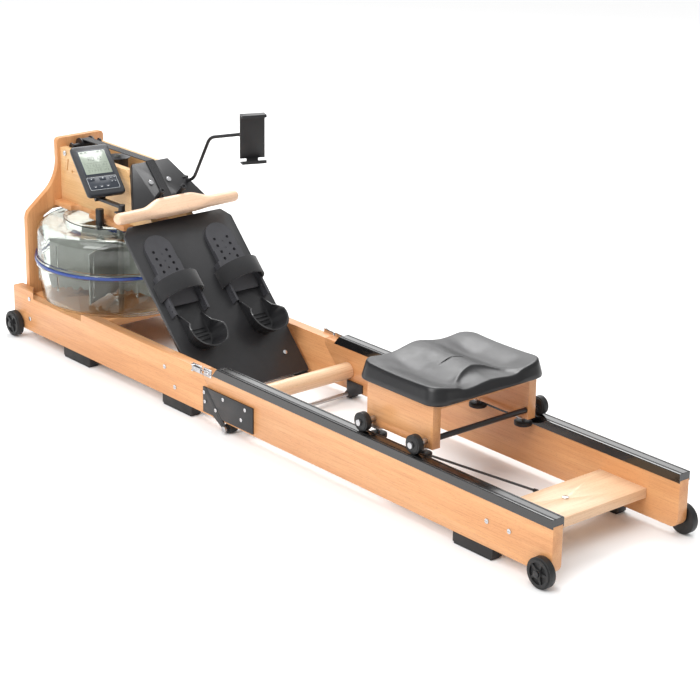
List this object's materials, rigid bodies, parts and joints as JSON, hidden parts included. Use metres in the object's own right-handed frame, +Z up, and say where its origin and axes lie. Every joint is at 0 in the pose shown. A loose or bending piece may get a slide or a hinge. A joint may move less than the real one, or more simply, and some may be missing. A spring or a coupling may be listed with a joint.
{
  "type": "rowing machine",
  "caption": "Folding wooden rowing machine with a clear round water tank, sloping footboard, sliding seat on two rails, strap handle, monitor and device holder.",
  "frame": {"origin": "centre of the footprint, on the floor under the feet", "axes": "+X along the rails toward the seat end, +Y toward the right-hand rail, +Z up"},
  "size_m": [2.172, 0.49, 0.7237],
  "materials": {
    "beech": "satin lacquered beech, warm orange",
    "pale_wood": "satin lacquered pale beech",
    "black_board": "satin black textured coating",
    "black_steel": "satin black powder coat",
    "black_plastic": "fine moulded texture",
    "grey_plastic": "fine moulded texture",
    "clear_tank": "clear polycarbonate",
    "blue_seal": "blue rubber gasket",
    "paddle": "moulded paddle",
    "rubber": "matte rubber",
    "zinc": "bright zinc plate",
    "chrome": "polished",
    "webbing": "woven nylon webbing",
    "cord": "braided elastic cord",
    "track": "extruded track, satin",
    "monitor_shell": "dark slate blue",
    "lcd": "reflective display behind a clear window",
    "keycap": "silicone keycap",
    "seat_skin": "moulded polyurethane skin"
  },
  "bodies": {
    "front_frame": {"front_rails": "beech", "headboard": "beech", "spine_boards": "beech", "cross_boards": "beech", "footboard": "black_board", "upper_plate": "black_steel", "footrests": "grey_plastic", "foot_straps": "webbing", "tank_lower": "clear_tank", "tank_upper": "clear_tank", "seal_ring": "blue_seal", "feet_front": "rubber", "front_fittings": "chrome", "hinge_leaves_front": "black_steel", "strap_run": "webbing", "strap_drop": "webbing", "pulley_bracket": "black_steel", "gooseneck": "black_steel"},
    "rear_frame": {"rear_rails": "beech", "roller_tracks": "track", "cross_dowel": "pale_wood", "rear_plank": "pale_wood", "hinge_leaves_rear": "black_steel", "feet_rear": "rubber", "rear_fittings": "chrome", "bungee_cord": "cord"},
    "carriage": {"seat_cushion": "seat_skin", "carriage_boards": "beech", "carriage_rods": "black_steel", "carriage_bolts": "zinc"},
    "fold_shaft": {"hinge_shaft": "zinc", "shaft_rollers": "rubber"},
    "impeller": {"impeller": "paddle"},
    "spool": {"strap_spool": "grey_plastic"},
    "pulley": {"head_pulley": "black_plastic"},
    "plug": {"fill_plug": "black_plastic"},
    "handle": {"handle": "pale_wood"},
    "holder": {"holder_back": "black_plastic"},
    "jaw": {"holder_jaw": "black_plastic"},
    "arm": {"monitor_arm": "black_plastic"},
    "monitor": {"monitor_case": "monitor_shell", "monitor_screen": "lcd"},
    "key_left": {"key_left": "keycap"},
    "key_right": {"key_right": "keycap"},
    "heel_left": {"heel_cup_left": "black_plastic"},
    "heel_right": {"heel_cup_right": "black_plastic"},
    "latch_left": {"latch_lever_left": "zinc"},
    "latch_right": {"latch_lever_right": "zinc"},
    "load_fl": {"load_roller_fl": "rubber"},
    "guide_fl": {"guide_roller_fl": "rubber"},
    "load_fr": {"load_roller_fr": "rubber"},
    "guide_fr": {"guide_roller_fr": "rubber"},
    "load_rl": {"load_roller_rl": "rubber"},
    "guide_rl": {"guide_roller_rl": "rubber"},
    "load_rr": {"load_roller_rr": "rubber"},
    "guide_rr": {"guide_roller_rr": "rubber"},
    "wheel_front_left": {"wheel_front_left": "rubber"},
    "wheel_front_right": {"wheel_front_right": "rubber"},
    "wheel_rear_left": {"wheel_rear_left": "rubber"},
    "wheel_rear_right": {"wheel_rear_right": "rubber"}
  },
  "joints": [
    {"name": "frame_fold", "type": "hinge", "parent": "front_frame", "child": "rear_frame", "pos_m": [-0.075, 0, 0.014], "axis": [0, 1, 0], "range_deg": [0, 150]},
    {"name": "seat_travel", "type": "slide", "parent": "rear_frame", "child": "carriage", "axis": [1, 0, 0], "range_m": [-0.5, 0.4]},
    {"name": "load_roller_fl_spin", "type": "hinge", "parent": "carriage", "child": "load_fl", "pos_m": [0.43, -0.199, 0.1853], "axis": [0, 1, 0], "continuous": true},
    {"name": "load_roller_fr_spin", "type": "hinge", "parent": "carriage", "child": "load_fr", "pos_m": [0.43, 0.199, 0.1853], "axis": [0, 1, 0], "continuous": true},
    {"name": "load_roller_rl_spin", "type": "hinge", "parent": "carriage", "child": "load_rl", "pos_m": [0.61, -0.199, 0.1853], "axis": [0, 1, 0], "continuous": true},
    {"name": "load_roller_rr_spin", "type": "hinge", "parent": "carriage", "child": "load_rr", "pos_m": [0.61, 0.199, 0.1853], "axis": [0, 1, 0], "continuous": true},
    {"name": "guide_roller_fl_spin", "type": "hinge", "parent": "carriage", "child": "guide_fl", "pos_m": [0.44, -0.1606, 0.146], "axis": [0, 0, 1], "continuous": true},
    {"name": "guide_roller_fr_spin", "type": "hinge", "parent": "carriage", "child": "guide_fr", "pos_m": [0.44, 0.1606, 0.146], "axis": [0, 0, 1], "continuous": true},
    {"name": "guide_roller_rl_spin", "type": "hinge", "parent": "carriage", "child": "guide_rl", "pos_m": [0.596, -0.1606, 0.146], "axis": [0, 0, 1], "continuous": true},
    {"name": "guide_roller_rr_spin", "type": "hinge", "parent": "carriage", "child": "guide_rr", "pos_m": [0.596, 0.1606, 0.146], "axis": [0, 0, 1], "continuous": true},
    {"name": "wheel_front_left_spin", "type": "hinge", "parent": "front_frame", "child": "wheel_front_left", "pos_m": [-1.05, -0.23, 0.037], "axis": [0, 1, 0], "continuous": true},
    {"name": "wheel_front_right_spin", "type": "hinge", "parent": "front_frame", "child": "wheel_front_right", "pos_m": [-1.05, 0.23, 0.037], "axis": [0, 1, 0], "continuous": true},
    {"name": "wheel_rear_left_spin", "type": "hinge", "parent": "rear_frame", "child": "wheel_rear_left", "pos_m": [1.05, -0.23, 0.037], "axis": [0, 1, 0], "continuous": true},
    {"name": "wheel_rear_right_spin", "type": "hinge", "parent": "rear_frame", "child": "wheel_rear_right", "pos_m": [1.05, 0.23, 0.037], "axis": [0, 1, 0], "continuous": true},
    {"name": "fold_shaft_spin", "type": "hinge", "parent": "front_frame", "child": "fold_shaft", "pos_m": [-0.075, 0, 0.014], "axis": [0, 1, 0], "continuous": true},
    {"name": "impeller_spin", "type": "hinge", "parent": "front_frame", "child": "impeller", "pos_m": [-0.847, 0, 0.25], "axis": [0, 0, 1], "continuous": true},
    {"name": "handle_pull", "type": "slide", "parent": "front_frame", "child": "handle", "axis": [1, 0, 0], "range_m": [0, 1.1], "stiffness_N_per_m": 20, "springref_m": -0.4},
    {"name": "spool_spin", "type": "hinge", "parent": "front_frame", "child": "spool", "pos_m": [-0.847, 0, 0.5], "axis": [0, 0, 1], "continuous": true},
    {"name": "pulley_spin", "type": "hinge", "parent": "front_frame", "child": "pulley", "pos_m": [-1.006, 0, 0.531], "axis": [0, 1, 0], "continuous": true},
    {"name": "plug_lift", "type": "slide", "parent": "front_frame", "child": "plug", "axis": [0, 0, 1], "range_m": [0, 0.03]},
    {"name": "arm_swing", "type": "hinge", "parent": "front_frame", "child": "arm", "pos_m": [-0.64, -0.132, 0.44], "axis": [0, 0, 1], "range_deg": [0, 45]},
    {"name": "monitor_tilt", "type": "hinge", "parent": "arm", "child": "monitor", "pos_m": [-0.7289, -0.1371, 0.4748], "axis": [0.1908, 0.9816, 0], "range_deg": [-6, 8]},
    {"name": "key_left_press", "type": "slide", "parent": "monitor", "child": "key_left", "axis": [-0.631, 0.1227, -0.766], "range_m": [0, 0.0012], "stiffness_N_per_m": 600},
    {"name": "key_right_press", "type": "slide", "parent": "monitor", "child": "key_right", "axis": [-0.631, 0.1227, -0.766], "range_m": [0, 0.0012], "stiffness_N_per_m": 600},
    {"name": "holder_turn", "type": "hinge", "parent": "front_frame", "child": "holder", "pos_m": [-0.36571, 0.09576, 0.66474], "axis": [0.9272, -0.3746, 0], "range_deg": [-90, 90]},
    {"name": "jaw_open", "type": "slide", "parent": "holder", "child": "jaw", "axis": [0, 0, -1], "range_m": [0, 0.03], "stiffness_N_per_m": 150, "springref_m": -0.02},
    {"name": "heel_left_slide", "type": "slide", "parent": "front_frame", "child": "heel_left", "axis": [-0.6947, 0, 0.7193], "range_m": [-0.035, 0]},
    {"name": "heel_right_slide", "type": "slide", "parent": "front_frame", "child": "heel_right", "axis": [-0.6947, 0, 0.7193], "range_m": [-0.035, 0]},
    {"name": "latch_left_swing", "type": "hinge", "parent": "front_frame", "child": "latch_left", "pos_m": [-0.207, -0.2206, 0.142], "axis": [0, 0, -1], "range_deg": [0, 120]},
    {"name": "latch_right_swing", "type": "hinge", "parent": "front_frame", "child": "latch_right", "pos_m": [-0.207, 0.2206, 0.142], "axis": [0, 0, 1], "range_deg": [0, 120]}
  ],
  "couplings": [
    {"joint": "load_roller_fl_spin", "follows": "seat_travel", "rad_per_m": 43.478},
    {"joint": "guide_roller_fl_spin", "follows": "seat_travel", "rad_per_m": -45.455},
    {"joint": "load_roller_fr_spin", "follows": "seat_travel", "rad_per_m": 43.478},
    {"joint": "guide_roller_fr_spin", "follows": "seat_travel", "rad_per_m": 45.455},
    {"joint": "load_roller_rl_spin", "follows": "seat_travel", "rad_per_m": 43.478},
    {"joint": "guide_roller_rl_spin", "follows": "seat_travel", "rad_per_m": -45.455},
    {"joint": "load_roller_rr_spin", "follows": "seat_travel", "rad_per_m": 43.478},
    {"joint": "guide_roller_rr_spin", "follows": "seat_travel", "rad_per_m": 45.455},
    {"joint": "spool_spin", "follows": "handle_pull", "rad_per_m": 34.247},
    {"joint": "pulley_spin", "follows": "handle_pull", "rad_per_m": 64.103},
    {"joint": "latch_left_swing", "follows": "frame_fold", "ratio": 0.8},
    {"joint": "latch_right_swing", "follows": "frame_fold", "ratio": 0.8}
  ]
}
